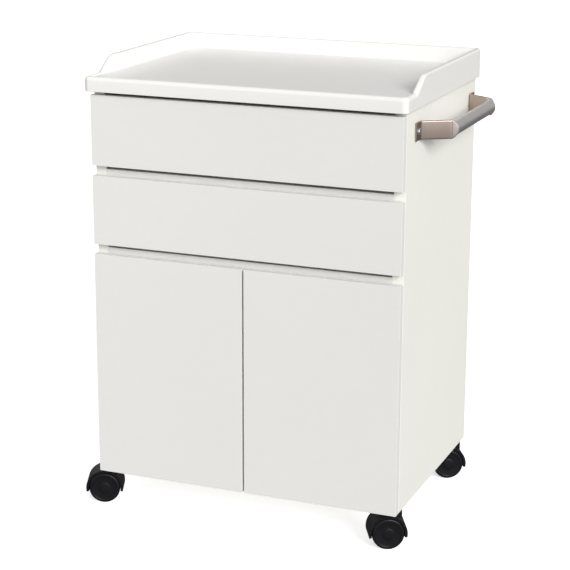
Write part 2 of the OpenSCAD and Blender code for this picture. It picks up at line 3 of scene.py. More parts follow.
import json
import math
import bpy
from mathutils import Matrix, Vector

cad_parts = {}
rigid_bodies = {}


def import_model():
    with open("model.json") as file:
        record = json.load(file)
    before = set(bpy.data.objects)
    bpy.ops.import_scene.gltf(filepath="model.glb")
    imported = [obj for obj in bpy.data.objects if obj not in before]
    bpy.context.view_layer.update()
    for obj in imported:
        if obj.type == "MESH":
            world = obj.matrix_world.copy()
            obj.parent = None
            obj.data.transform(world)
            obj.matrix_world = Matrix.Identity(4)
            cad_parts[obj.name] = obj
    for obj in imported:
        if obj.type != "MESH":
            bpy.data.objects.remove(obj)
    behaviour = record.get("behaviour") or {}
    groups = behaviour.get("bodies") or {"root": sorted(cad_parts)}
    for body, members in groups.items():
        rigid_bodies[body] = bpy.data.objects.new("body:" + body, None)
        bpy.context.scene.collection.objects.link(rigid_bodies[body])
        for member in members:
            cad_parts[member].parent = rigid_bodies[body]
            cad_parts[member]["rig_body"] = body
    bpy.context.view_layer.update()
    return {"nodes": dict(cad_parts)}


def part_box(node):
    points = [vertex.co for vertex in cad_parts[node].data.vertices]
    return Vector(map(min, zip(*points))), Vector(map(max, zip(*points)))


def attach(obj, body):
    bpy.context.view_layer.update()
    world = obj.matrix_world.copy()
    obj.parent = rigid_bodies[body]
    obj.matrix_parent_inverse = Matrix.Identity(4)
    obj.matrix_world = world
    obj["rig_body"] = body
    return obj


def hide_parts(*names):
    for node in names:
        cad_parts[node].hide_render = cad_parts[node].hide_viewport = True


bl_info = {
    "name": "Bedside cabinet",
    "version": (1, 0, 0),
    "blender": (4, 5, 0),
    "location": "3D View > Sidebar > Cabinet",
    "description": "Makes the boards, tray, handle, fittings and casters of a bedside cabinet",
    "category": "Object",
}

import bmesh
import bpy
from bpy.props import FloatProperty, FloatVectorProperty, IntProperty, PointerProperty
from mathutils import Matrix, Vector

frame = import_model()

MM = 0.001
SHARP = math.radians(32)
WELD = 0.01 * MM  # vertices closer together than this are joined
NEAR = 0.02 * MM  # points closer than this to an edge or a face lie on it

FRONTS = ("upper_drawer_front", "lower_drawer_front", "door_left", "door_right")
RAILS = ("drawer_rail", "divider_panel")
SIDES = ("side_panel_left", "side_panel_right")
INNER_BOARDS = (
    "base_panel",
    "back_panel",
    "top_rail_front",
    "top_rail_rear",
    "shelf",
)
BOX_BOARDS = tuple(
    drawer + board
    for drawer in ("upper_drawer_", "lower_drawer_")
    for board in ("inner_front", "back", "side_left", "side_right", "bottom")
)
CORNERS = ("front_left", "front_right", "rear_left", "rear_right")


# ---- Sizes and colours ----


def length(name, description, millimetres, low, high):
    """A length property, given in millimetres and kept in metres."""
    return FloatProperty(
        name=name,
        description=description,
        default=millimetres * MM,
        min=low * MM,
        max=high * MM,
        precision=4,
        unit="LENGTH",
    )


def colour(name, description, value):
    """A colour property, linear from 0 to 1."""
    return FloatVectorProperty(
        name=name,
        description=description,
        default=value,
        size=3,
        min=0.0,
        max=1.0,
        subtype="COLOR",
    )


class CabinetSizes(bpy.types.PropertyGroup):
    """Sizes of the finish, on top of those that the frame gives."""

    board_edge: length("Board edge", "Radius worked onto the edges of the boards", 0.9, 0.2, 3)
    box_edge: length("Box edge", "Radius on the edges of the drawer boxes", 0.5, 0.1, 2)
    tray_floor: length("Tray floor", "Underside of the tray to its floor", 20.5, 10, 40)
    tray_rim: length("Tray rim", "Rise of the front rim above the tray's floor", 2.5, 1, 6)
    tray_rim_width: length("Rim width", "Width of the front rim", 8, 5, 20)
    tray_nose: length("Tray nose", "Radius of the tray's front top edge", 6, 1, 8)
    tray_corner: length("Tray corner", "Radius of the tray's corners seen from above", 9, 4, 30)
    tray_inner_corner: length("Inner corner", "Radius of the tray's inner corners", 7, 3, 15)
    gallery_top: length("Gallery top", "Width of the gallery along its top", 8.5, 5, 12)
    gallery_foot: length("Gallery foot", "Width of the gallery at the tray's floor", 14.5, 10, 22)
    gallery_start: length("Gallery start", "Front of the tray to the gallery's rise", 46, 20, 80)
    gallery_slope: length("Gallery slope", "Length of the gallery's sloping ends", 38, 10, 60)
    tray_skin: length("Tray skin", "Thickness of the tray over its hollow side", 5, 3, 8)
    tray_inset: length("Tray land", "Width of the solid land under the tray's sides", 25, 10, 40)
    grip_flat: length("Flat thickness", "Thickness of the handle's flattened arms", 4, 3, 6)
    grip_reach: length("Grip reach", "Panel to the middle of the grip", 42.5, 30, 60)
    grip_half: length("Grip half", "Half the length of the grip between its arms", 108.5, 60, 140)
    arm_spread: length("Arm spread", "How far an arm spreads towards the panel", 24, 5, 40)
    wheel_width: length("Wheel width", "Width of one wheel", 16, 10, 20)


class CabinetColours(bpy.types.PropertyGroup):
    """Colours of the finishes."""

    front: colour("Fronts", "Doors and drawer fronts", (0.795, 0.79, 0.765))
    # The sides are lighter and a little yellower than the fronts: partly their own tone, partly
    # painted light standing in for the light that falls more on the side
    side: colour("Sides", "Side panels", (0.905, 0.897, 0.838))
    inner: colour("Inner boards", "Boards inside the body", (0.77, 0.75, 0.68))
    tray: colour("Tray", "Moulded tray", (0.865, 0.858, 0.832))
    steel: colour("Steel", "Satin stainless steel", (0.78, 0.75, 0.73))
    zinc: colour("Zinc", "Bright zinc plate", (0.60, 0.66, 0.71))
    axle: colour("Axles", "Plain drawn steel", (0.52, 0.51, 0.50))
    black: colour("Black nylon", "Hoods and wheels", (0.0068, 0.0068, 0.0086))
    nylon: colour("Natural nylon", "Runners and catches", (0.72, 0.70, 0.63))
    bumper: colour("Bumpers", "Soft bumpers", (0.30, 0.30, 0.29))
    beech: colour("Beech", "Dowels", (0.62, 0.42, 0.25))
    floor: colour("Floor", "Floor under the cabinet", (0.88, 0.88, 0.88))


class CabinetStage(bpy.types.PropertyGroup):
    """Camera and light."""

    azimuth: FloatProperty(
        name="Azimuth",
        description="Direction of the camera round the cabinet, from its front",
        default=math.radians(21.82),
        subtype="ANGLE",
    )
    elevation: FloatProperty(
        name="Elevation",
        description="Height of the camera, as an angle",
        default=math.radians(15.68),
        subtype="ANGLE",
    )
    roll: FloatProperty(
        name="Roll",
        description="Turn of the camera about its own line of sight",
        default=math.radians(0.2),
        subtype="ANGLE",
    )
    camera: FloatVectorProperty(
        name="Camera place",
        description="Place of the camera",
        default=(0.9859, -2.4871, 1.0998),
        size=3,
        subtype="TRANSLATION",
        unit="LENGTH",
    )
    lens: FloatProperty(
        name="Lens", description="Focal length, in millimetres", default=109.35, min=20, max=300
    )
    sky: FloatProperty(
        name="Room light", description="Strength of the even light", default=0.44, min=0, max=3
    )
    key: FloatProperty(
        name="Key light", description="Strength of the soft key light", default=2.75, min=0, max=20
    )
    key_azimuth: FloatProperty(
        name="Key azimuth",
        description="Direction of the key light round the cabinet, from its front",
        default=math.radians(52),
        subtype="ANGLE",
    )
    key_elevation: FloatProperty(
        name="Key elevation",
        description="Height of the key light, as an angle",
        default=math.radians(25),
        subtype="ANGLE",
    )
    key_spread: FloatProperty(
        name="Key spread",
        description="Width of the key light, as an angle",
        default=math.radians(28),
        subtype="ANGLE",
    )
    fill: FloatProperty(
        name="Fill light",
        description="Power of the light from the front left",
        default=14.0,
        min=0,
        max=500,
        unit="POWER",
    )
    overhead: FloatProperty(
        name="Overhead light",
        description="Power of the wide light above the cabinet",
        default=4.0,
        min=0,
        max=500,
        unit="POWER",
    )
    floor_glow: FloatProperty(
        name="Floor glow",
        description="Glow that lets the floor fade into the room",
        default=0.64,
        min=0,
        max=2,
    )
    mirrored_tone: FloatProperty(
        name="Mirrored tone",
        description="Share of the floor's colour in the floor that glossy pieces mirror",
        default=0.3,
        min=0,
        max=1,
    )
    wheel_steps: IntProperty(
        name="Wheel steps", description="Steps round a wheel", default=72, min=24, max=128
    )


def sizes():
    return bpy.context.scene.cabinet_sizes


def colours():
    return bpy.context.scene.cabinet_colours


def lighting():
    return bpy.context.scene.cabinet_stage


# ---- Materials ----


class Wire:
    """A shader socket that takes part in Python arithmetic, one Math node an operation."""

    def __init__(self, graph, socket):
        self.graph = graph
        self.socket = socket

    def maths(self, operation, first, second):
        return self.graph.node("ShaderNodeMath", {"operation": operation}, {0: first, 1: second})

    def __add__(self, other):
        return self.maths("ADD", self, other)

    __radd__ = __add__

    def __sub__(self, other):
        return self.maths("SUBTRACT", self, other)

    def __rsub__(self, other):
        return self.maths("SUBTRACT", other, self)

    def __mul__(self, other):
        return self.maths("MULTIPLY", self, other)

    __rmul__ = __mul__


class Graph:
    """The nodes of one material, or of the room."""

    def __init__(self, name, kind="materials"):
        self.owner = getattr(bpy.data, kind).new(name)
        self.owner.use_nodes = True
        self.tree = self.owner.node_tree
        self.tree.nodes.clear()

    def node(self, kind, settings=None, sockets=None, out=0):
        """Adds a node: its settings first, then the values or links of its sockets."""
        made = self.tree.nodes.new(kind)
        for key, value in (settings or {}).items():
            if key == "stops":
                ramp = made.color_ramp.elements
                while len(ramp) < len(value):
                    ramp.new(0.5)
                for stop, (at, grey) in zip(ramp, value):
                    stop.position = at
                    stop.color = (grey, grey, grey, 1)
            else:
                setattr(made, key, value)
        for key, value in (sockets or {}).items():
            if isinstance(value, Wire):
                self.tree.links.new(value.socket, made.inputs[key])
            else:
                made.inputs[key].default_value = value
        return Wire(self, made.outputs[out]) if len(made.outputs) else None

    def place(self, stretch=(1, 1, 1)):
        """Object coordinates in metres, stretched along each axis."""
        at = self.node("ShaderNodeTexCoord", out="Object")
        return self.node("ShaderNodeMapping", None, {"Vector": at, "Scale": stretch})

    def noise(self, scale, detail=2.0, rough=0.5, stretch=(1, 1, 1)):
        """Noise over the object's own coordinates."""
        return self.node(
            "ShaderNodeTexNoise",
            None,
            {
                "Vector": self.place(stretch),
                "Scale": scale,
                "Detail": detail,
                "Roughness": rough,
            },
        )

    def ramp(self, value, *stops):
        """A grey ramp through stops of (place, grey)."""
        return self.node("ShaderNodeValToRGB", {"stops": stops}, {"Fac": value})

    def tint(self, amount, first, second):
        """A colour between two colours."""
        ends = [c if isinstance(c, Wire) else (*c, 1) for c in (first, second)]
        return self.node(
            "ShaderNodeMix", {"data_type": "RGBA"}, {0: amount, 6: ends[0], 7: ends[1]}, out=2
        )

    def bump(self, height, depth, strength=1.0, under=None):
        """A bump, on top of another where one is given."""
        sockets = {"Height": height, "Distance": depth, "Strength": strength}
        if under:
            sockets["Normal"] = under
        return self.node("ShaderNodeBump", None, sockets)

    def finish(self, base, roughness, normal, **fixed):
        """Joins everything to the surface. The fixed values are set on the shader itself."""
        sockets = {"Base Color": base, "Roughness": roughness, "Normal": normal}
        sockets.update({key.replace("_", " "): value for key, value in fixed.items()})
        shader = self.node("ShaderNodeBsdfPrincipled", None, sockets)
        self.node("ShaderNodeOutputMaterial", None, {"Surface": shader})
        return self.owner


def shade(value, by):
    """A colour made darker or lighter."""
    return tuple(min(1.0, part * by) for part in value)


def lacquered_board(name, base):
    """Spray-lacquered board: a slow drift of tone and the fine peel of the spray."""
    g = Graph(name)
    drift = g.noise(4.0, 3.0)
    cloud = g.noise(55.0, 2.0)
    peel = g.noise(700.0, 1.5)
    wave = g.noise(90.0, 1.0)
    tone = g.tint(drift, shade(base, 0.975), shade(base, 1.02))
    tone = g.tint(g.ramp(cloud, (0.45, 0), (0.75, 1)) * 0.25, tone, shade(base, 0.96))
    normal = g.bump(peel, 0.00006, 0.35, g.bump(wave, 0.0004, 0.12))
    return g.finish(tone, 0.30 + cloud * 0.14, normal, Specular_IOR_Level=0.45)


def faced_board(name, base):
    """Melamine-faced board: a faint speckle and a dry, even grain."""
    g = Graph(name)
    speck = g.noise(650.0, 3.0, 0.7)
    drift = g.noise(7.0, 3.0)
    grain = g.noise(1500.0, 2.0)
    tone = g.tint(drift, shade(base, 0.97), shade(base, 1.02))
    tone = g.tint(g.ramp(speck, (0.55, 0), (0.72, 1)) * 0.35, tone, shade(base, 0.86))
    return g.finish(tone, 0.46 + drift * 0.12, g.bump(grain, 0.00006, 0.3))


def moulded_tray(name, base):
    """Moulded plastic: a fine even texture that catches a soft sheen."""
    g = Graph(name)
    drift = g.noise(3.0, 2.0)
    texture = g.noise(1900.0, 2.0, 0.6)
    sink = g.noise(22.0, 1.0)
    scuff = g.noise(30.0, 4.0, 0.6, stretch=(1, 5, 1))
    tone = g.tint(drift, shade(base, 0.985), shade(base, 1.01))
    tone = g.tint(g.ramp(scuff, (0.62, 0), (0.8, 1)) * 0.3, tone, shade(base, 0.95))
    normal = g.bump(texture, 0.00007, 0.35, g.bump(sink, 0.0006, 0.1))
    rough = 0.30 + drift * 0.08 + g.ramp(scuff, (0.55, 0), (0.75, 1)) * 0.08
    return g.finish(tone, rough, normal, Coat_Weight=0.15, Coat_Roughness=0.2)


# Painted reflection: a browner, darker tone on the pressed flat arms, standing in for what their
# flat faces mirror, and the length over which it takes over
ARM_REFLECTION_TONE = (0.455, 0.373, 0.328)
ARM_REFLECTION_RUN = 9 * MM


def satin_steel(name, base):
    """Brushed stainless steel, its fine scratches running along the grip, with a painted reflection
    past the bends, where the tube is pressed flat: a browner, darker tone on the flat arms."""
    g = Graph(name)
    scratch = g.noise(60.0, 4.0, 0.65, stretch=(40, 1, 40))
    fine = g.noise(160.0, 3.0, 0.6, stretch=(30, 1, 30))
    cloud = g.noise(35.0, 3.0)
    smear = g.noise(14.0, 2.0)
    tone = g.tint(scratch, shade(base, 0.80), shade(base, 1.18))
    tone = g.tint(g.ramp(smear, (0.4, 0), (0.8, 1)) * 0.4, tone, shade(base, 0.86))
    low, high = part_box("handle")
    along = g.node("ShaderNodeSeparateXYZ", None, {0: g.place()}, out=1) - (low.y + high.y) / 2
    bend = sizes().grip_half
    off = along.maths("ABSOLUTE", along, 0)
    ends = {0: off, 1: bend - ARM_REFLECTION_RUN, 2: bend, 3: 0.0, 4: 1.0}
    # Painted reflection: past the bends the flat arms take the browner, darker tone
    tone = g.tint(g.node("ShaderNodeMapRange", None, ends), tone, ARM_REFLECTION_TONE)
    rough = 0.33 + scratch * 0.16 + cloud * 0.08
    normal = g.bump(fine, 0.00005, 0.4, g.bump(scratch, 0.00008, 0.3))
    return g.finish(tone, rough, normal, Metallic=1.0)


def zinc_plate(name, base):
    """Bright zinc plate with a faint blue bloom."""
    g = Graph(name)
    bloom = g.noise(120.0, 3.0, 0.6)
    pit = g.noise(900.0, 2.0)
    tone = g.tint(bloom, shade(base, 0.82), shade(base, 1.05))
    return g.finish(tone, 0.34 + bloom * 0.2, g.bump(pit, 0.00004, 0.4), Metallic=1.0)


def drawn_steel(name, base):
    """Plain drawn steel with a little oil on it."""
    g = Graph(name)
    draw = g.noise(90.0, 3.0, 0.6, stretch=(6, 6, 1))
    oil = g.noise(70.0, 2.0)
    tone = g.tint(oil, shade(base, 0.72), shade(base, 1.1))
    return g.finish(tone, 0.26 + draw * 0.22, g.bump(draw, 0.00005, 0.4), Metallic=1.0)


def black_nylon(name, base):
    """Black moulded nylon with an eroded texture and dust in its hollows."""
    g = Graph(name)
    erode = g.noise(1300.0, 2.0, 0.6)
    cloud = g.noise(60.0, 3.0)
    dust = g.noise(160.0, 4.0, 0.65)
    tone = g.tint(cloud, shade(base, 0.8), shade(base, 1.35))
    tone = g.tint(g.ramp(dust, (0.6, 0), (0.85, 1)) * 0.15, tone, (0.06, 0.06, 0.06))
    rough = 0.34 + cloud * 0.14
    return g.finish(tone, rough, g.bump(erode, 0.00004, 0.35), Specular_IOR_Level=0.28)


def natural_nylon(name, base):
    """Natural nylon, slightly see-through to light, with rubbed tracks."""
    g = Graph(name)
    track = g.noise(40.0, 3.0, 0.6, stretch=(8, 1, 8))
    tone = g.tint(track, shade(base, 0.93), shade(base, 1.04))
    fixed = {"Subsurface_Weight": 0.15, "Subsurface_Scale": 0.003}
    return g.finish(tone, 0.32 + track * 0.18, g.bump(track, 0.00008, 0.4), **fixed)


def soft_bumper(name, base):
    """Soft clear-grey bumper, a little tacky with dust."""
    g = Graph(name)
    dust = g.noise(500.0, 3.0, 0.7)
    tone = g.tint(dust, shade(base, 0.85), shade(base, 1.2))
    return g.finish(tone, 0.5 + dust * 0.25, g.bump(dust, 0.00008, 0.5))


def beech_wood(name, base):
    """Beech along the dowel, with its short dark flecks."""
    g = Graph(name)
    fibre = g.noise(140.0, 5.0, 0.65, stretch=(0.12, 1, 1))
    fleck = g.noise(700.0, 2.0, 0.5, stretch=(0.2, 1, 1))
    tone = g.tint(fibre, shade(base, 0.78), shade(base, 1.18))
    tone = g.tint(g.ramp(fleck, (0.6, 0), (0.75, 1)) * 0.6, tone, shade(base, 0.5))
    return g.finish(tone, 0.55 + fibre * 0.2, g.bump(fibre, 0.0002, 0.5))


MAKERS = {
    "front": lacquered_board,
    "side": lacquered_board,
    "inner": faced_board,
    "tray": moulded_tray,
    "steel": satin_steel,
    "zinc": zinc_plate,
    "axle": drawn_steel,
    "black": black_nylon,
    "nylon": natural_nylon,
    "bumper": soft_bumper,
    "beech": beech_wood,
}


def material(finish):
    """The material of a finish, made the first time that it is asked for."""
    name = "Cabinet " + finish
    found = bpy.data.materials.get(name)
    return found or MAKERS[finish](name, tuple(getattr(colours(), finish)))


# ---- Shapes ----


def node_body(node):
    """The body that a CAD node rides on."""
    return frame["nodes"][node]["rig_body"]


def middle(node):
    """The middle of a CAD node's box."""
    low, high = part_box(node)
    return (low + high) / 2


def node_copy(node):
    """A copy of a CAD node with its loose triangles joined and its flat faces whole."""
    bm = bmesh.new()
    bm.from_mesh(frame["nodes"][node].data)
    bmesh.ops.remove_doubles(bm, verts=bm.verts, dist=WELD)
    bmesh.ops.dissolve_limit(
        bm, angle_limit=math.radians(0.5), verts=bm.verts, edges=bm.edges, delimit={"NORMAL"}
    )
    return bm


def rounded(bm, edges, radius, segments=2):
    """Works a radius onto the edges."""
    bmesh.ops.bevel(
        bm,
        geom=list(edges),
        offset=radius,
        affect="EDGES",
        segments=segments,
        profile=0.5,
        material=-1,
        clamp_overlap=True,
    )


def folds(bm, angle=SHARP, shortest=0.0):
    """The edges where the surface turns by more than the angle."""
    return [
        e
        for e in bm.edges
        if len(e.link_faces) == 2
        and e.calc_face_angle(0.0) > angle
        and e.calc_length() >= shortest
    ]


def on_rim(edge, low, high):
    """True when the edge lies along one of the twelve edges of the box."""
    at = (edge.verts[0].co + edge.verts[1].co) / 2
    near = [min(abs(at[i] - low[i]), abs(at[i] - high[i])) < NEAR for i in range(3)]
    return sum(near) >= 2


def finished(bm, name, finish, nodes, body=None, even=True):
    """Turns a bmesh into a piece that rides on its body and stands for its CAD nodes."""
    for face in bm.faces:
        face.smooth = True
    for edge in bm.edges:
        edge.smooth = not (len(edge.link_faces) == 2 and edge.calc_face_angle(0.0) > SHARP)
    mesh = bpy.data.meshes.new(name)
    bm.to_mesh(mesh)
    bm.free()
    mesh.materials.append(material(finish))
    piece = bpy.data.objects.new(name, mesh)
    bpy.context.scene.collection.objects.link(piece)
    if even:
        weighted = piece.modifiers.new("Flat faces stay flat", "WEIGHTED_NORMAL")
        weighted.keep_sharp = True
    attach(piece, body or node_body(nodes[0]))
    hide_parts(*nodes)
    return piece


def dress(node, finish):
    """Gives a CAD node that is shown as it is its own finish."""
    shown = frame["nodes"][node]
    if shown.material_slots:
        for each in shown.material_slots:
            each.material = material(finish)
    else:
        shown.data.materials.append(material(finish))


def board(node, finish, radius):
    """A board of the frame with a small radius on its outer edges."""
    low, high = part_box(node)
    bm = node_copy(node)
    rounded(bm, [e for e in bm.edges if on_rim(e, low, high)], radius)
    return finished(bm, node + "_board", finish, (node,))


def worked(node, finish, radius, segments=2, shortest=0.0):
    """A fitting of the frame with a small radius on all its sharp edges."""
    bm = node_copy(node)
    rounded(bm, folds(bm, shortest=shortest), radius, segments)
    return finished(bm, node + "_worked", finish, (node,))


def loft(bm, rings):
    """Carries one closed loop of points through every ring, and leaves both ends open."""
    place = bm.verts.layers.int.new("place")
    first = bmesh.ops.create_circle(bm, cap_ends=False, segments=len(rings[0]), radius=1)["verts"]
    for number, vert in enumerate(first):
        vert[place] = number
        vert.co = rings[0][number]
    loop = list(bm.edges)
    start = list(loop)
    for ring in rings[1:]:
        grown = bmesh.ops.extrude_edge_only(bm, edges=loop)["geom"]
        verts = [g for g in grown if isinstance(g, bmesh.types.BMVert)]
        for vert in verts:
            vert.co = ring[vert[place]]
        fresh = set(verts)
        loop = [
            e for e in {e for v in verts for e in v.link_edges} if fresh.issuperset(e.verts)
        ]
    return start, loop


def closed(bm, *loops):
    """Fills the open loops, and turns all faces outwards."""
    for loop in loops:
        bmesh.ops.holes_fill(bm, edges=loop, sides=0)
    bmesh.ops.remove_doubles(bm, verts=bm.verts, dist=NEAR)
    bmesh.ops.recalc_face_normals(bm, faces=bm.faces)


# ---- Boards ----


class CABINET_OT_boards(bpy.types.Operator):
    """Make the body's boards, the fronts and the drawer boxes, with their worked edges"""

    bl_idname = "cabinet.boards"
    bl_label = "Boards"

    def execute(self, context):
        s = sizes()
        for node in FRONTS:
            board(node, "front", s.board_edge)
        for node in SIDES:
            board(node, "side", s.board_edge)
        for node in RAILS:
            board(node, "front", s.box_edge)
        for node in INNER_BOARDS:
            board(node, "inner", s.box_edge)
        for node in BOX_BOARDS:
            board(node, "inner", s.box_edge)
        return {"FINISHED"}


# ---- Tray ----


def blend(first, second, amount):
    """A number or a vector part of the way from the first to the second."""
    return first + (second - first) * amount


def quarter(steps):
    """Angles of a quarter turn, without its ends."""
    return [math.pi / 2 * (i + 1) / (steps + 1) for i in range(steps)]


class TrayShape:
    """The tray as rings of points, each set in from its outline and at its own height."""

    SOFTENED = 4  # millimetres, each way, over which the gallery's slopes start and end
    STEP = 2 * MM  # between the outline's points along the slopes
    CORNER_STEPS = 12
    CORNER_DEPTH = 20 * MM  # inset at which an inner corner has its full radius
    # Radii at the front rim and at the gallery: of the wall's inner top edge and its foot
    LIP = (1.1 * MM, 2.6 * MM)
    FILLET = (1.1 * MM, 3.4 * MM)
    GALLERY_NOSE = 2.6 * MM  # radius of the gallery's outer top edge
    RIM_FOOT = 0.6 * MM  # how much wider the front rim is at its foot
    UNDER_EDGE = 1.2 * MM  # radius round the tray's underside
    UNDER_CUT = 0.35 * MM  # inset and height of the middle of that radius

    def __init__(self):
        s = sizes()
        self.s = s
        self.low, self.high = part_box("tray_top")
        self.base = self.low.z
        self.floor = self.base + s.tray_floor
        self.points = self.outline()

    def rise(self, y):
        """How far the gallery has risen at y, from 0 to 1, with softened ends."""
        start = self.low.y + self.s.gallery_start
        total = 0.0
        for step in range(-self.SOFTENED, self.SOFTENED + 1):
            part = (y + step * MM - start) / self.s.gallery_slope
            total += min(1.0, max(0.0, part))
        return total / (2 * self.SOFTENED + 1)

    def outline(self):
        """Each point of the outline, anticlockwise from above, as its place, its way out, the
        signs of the corner that it turns round (0, 0 on a side) and the gallery's rise."""
        r = self.s.tray_corner
        x0, x1, y0, y1 = self.low.x, self.high.x, self.low.y, self.high.y
        slope = y0 + self.s.gallery_start
        margin = self.SOFTENED * MM + self.STEP
        end = slope + self.s.gallery_slope + margin
        stops = [slope - margin]
        while stops[-1] < end:
            stops.append(stops[-1] + self.STEP)
        stops += [blend(stops[-1], y1 - r, i / 4) for i in range(1, 4)]
        made = []

        def corner(sx, sy, start):
            at = Vector((x1 if sx > 0 else x0, y1 if sy > 0 else y0, 0))
            for step in range(self.CORNER_STEPS + 1):
                turn = start + math.pi / 2 * step / self.CORNER_STEPS
                made.append((at, Vector((math.cos(turn), math.sin(turn), 0)), sx, sy))

        def side(points, way):
            made.extend((Vector((x, y, 0)), Vector(way), 0, 0) for x, y in points)

        across = [blend(x1 - r, x0 + r, i / 8) for i in range(1, 8)]
        corner(1, -1, -math.pi / 2)
        side([(x1, y) for y in stops], (1, 0, 0))
        corner(1, 1, 0)
        side([(x, y1) for x in across], (0, 1, 0))
        corner(-1, 1, math.pi / 2)
        side([(x0, y) for y in reversed(stops)], (-1, 0, 0))
        corner(-1, -1, math.pi)
        side([(x, y0) for x in reversed(across)], (0, -1, 0))
        return [(*each, self.rise(each[0].y)) for each in made]

    def ring(self, inset, height):
        """A ring from how far in and how high each point is, as functions of the rise."""
        made = []
        for at, way, sx, sy, up in self.points:
            deep = inset(up)
            if sx:
                inner = self.s.tray_inner_corner * deep / self.CORNER_DEPTH
                radius = max(self.s.tray_corner - deep, inner)
                centre = at - Vector((sx, sy, 0)) * (deep + radius)
                point = centre + way * radius
            else:
                point = at - way * deep
            point.z = height(up)
            made.append(point)
        return made

    def flat_ring(self, inset, z):
        """A ring at one inset and one height."""
        return self.ring(lambda up: inset, lambda up: z)

    def rings(self):
        """Every ring from the underside's edge, over the wall, to the tray's floor."""
        s = self.s

        def top(up):
            return self.floor + blend(s.tray_rim, self.high.z - self.floor, up)

        def wide(up):
            return blend(s.tray_rim_width, s.gallery_top, up)

        def foot(up):
            return blend(s.tray_rim_width + self.RIM_FOOT, s.gallery_foot, up)

        def nose(up):
            return blend(s.tray_nose, self.GALLERY_NOSE, up)

        def lip(up):
            return blend(*self.LIP, up)

        def fillet(up):
            return blend(*self.FILLET, up)

        made = [
            self.flat_ring(self.UNDER_EDGE, self.base),
            self.flat_ring(self.UNDER_CUT, self.base + self.UNDER_CUT),
            self.flat_ring(0, self.base + self.UNDER_EDGE),
            self.ring(lambda up: 0, lambda up: top(up) - nose(up)),
        ]
        for a in quarter(5):
            made.append(
                self.ring(
                    lambda up, a=a: nose(up) * (1 - math.cos(a)),
                    lambda up, a=a: top(up) - nose(up) * (1 - math.sin(a)),
                )
            )
        made.append(self.ring(nose, top))
        made.append(self.ring(lambda up: max(nose(up), wide(up) - lip(up)) + NEAR, top))
        for a in quarter(3):
            made.append(
                self.ring(
                    lambda up, a=a: max(nose(up), wide(up) - lip(up)) + lip(up) * math.sin(a),
                    lambda up, a=a: top(up) - lip(up) * (1 - math.cos(a)),
                )
            )
        for a in (0.0, *quarter(3), math.pi / 2):
            made.append(
                self.ring(
                    lambda up, a=a: foot(up) - 0.4 * fillet(up) + fillet(up) * (1 - math.cos(a)),
                    lambda up, a=a: self.floor + fillet(up) * (1 - math.sin(a)),
                )
            )
        return made

    def hollow(self):
        """The rings of the hollow underside, from its mouth to its ceiling."""
        inset = self.s.tray_inset
        x0, x1 = self.low.x + inset, self.high.x - inset
        low_y, high_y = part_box("side_panel_left")[0].y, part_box("back_panel")[0].y
        ceiling = self.floor - self.s.tray_skin
        made = []
        for z in (ceiling, self.base + 0.5 * MM):
            made.append(
                [
                    Vector((min(max(p.x, x0), x1), min(max(p.y, low_y), high_y), z))
                    for p, *rest in self.points
                ]
            )
        return made + [[Vector((p.x, p.y, self.base)) for p in made[0]]]


BOSS_OUT = 192 * MM  # each boss from the middle of the tray
BOSS_RADII = (8 * MM, 8.5 * MM)  # at its foot and at the ceiling
BOSS_ROOT = 2 * MM  # how far it runs into the tray's skin


def tray_bosses(bm, shape):
    """The four screw bosses that hang in the tray's hollow."""
    spots = [(x, y) for x in (-BOSS_OUT, BOSS_OUT) for y in ("top_rail_front", "top_rail_rear")]
    across = (shape.low.x + shape.high.x) / 2
    ceiling = shape.floor - shape.s.tray_skin
    for x, rail in spots:
        at = Vector((across + x, middle(rail).y, (ceiling + shape.base) / 2))
        bmesh.ops.create_cone(
            bm,
            cap_ends=True,
            segments=32,
            radius1=BOSS_RADII[0],
            radius2=BOSS_RADII[1],
            depth=ceiling - shape.base + BOSS_ROOT,
            matrix=Matrix.Translation(at + Vector((0, 0, BOSS_ROOT / 2))),
        )


class CABINET_OT_tray(bpy.types.Operator):
    """Make the moulded tray with its rim, gallery and hollow underside"""

    bl_idname = "cabinet.tray"
    bl_label = "Tray"

    def execute(self, context):
        shape = TrayShape()
        bm = bmesh.new()
        ceiling, floor = loft(bm, shape.hollow() + shape.rings())
        closed(bm, ceiling, floor)
        tray_bosses(bm, shape)
        finished(bm, "tray_moulding", "tray", ("tray_top",))
        return {"FINISHED"}


# ---- Handle ----


FLANGE_SEAT = 1.5 * MM  # half the flange's thickness
FLANGE_FLAT = 9 * MM  # the flange stays at its full size up to here from its bend
ARM_IN = (3 * MM, 4 * MM)  # the arm's centre line from its outer corners, at its root and tip
BENDS = ((1, 6 * MM), (2, 4 * MM))  # the corners of the line that are bent, with their radii
BEND_STEPS = 6
# The flange's rounded end: shares of its thickness and of its height, a step apart
END_STEP = 0.7 * MM
END_SHARES = ((0.6, 0.94), (0.95, 0.985), (1.0, 1.0))
# The tube past its second bend: millimetres along the grip, and share of its full round
SWELL = ((1.0, 0.6), (2.4, 0.78), (4.0, 0.9), (6.0, 0.965), (8.0, 0.99), (10.0, 1.0))


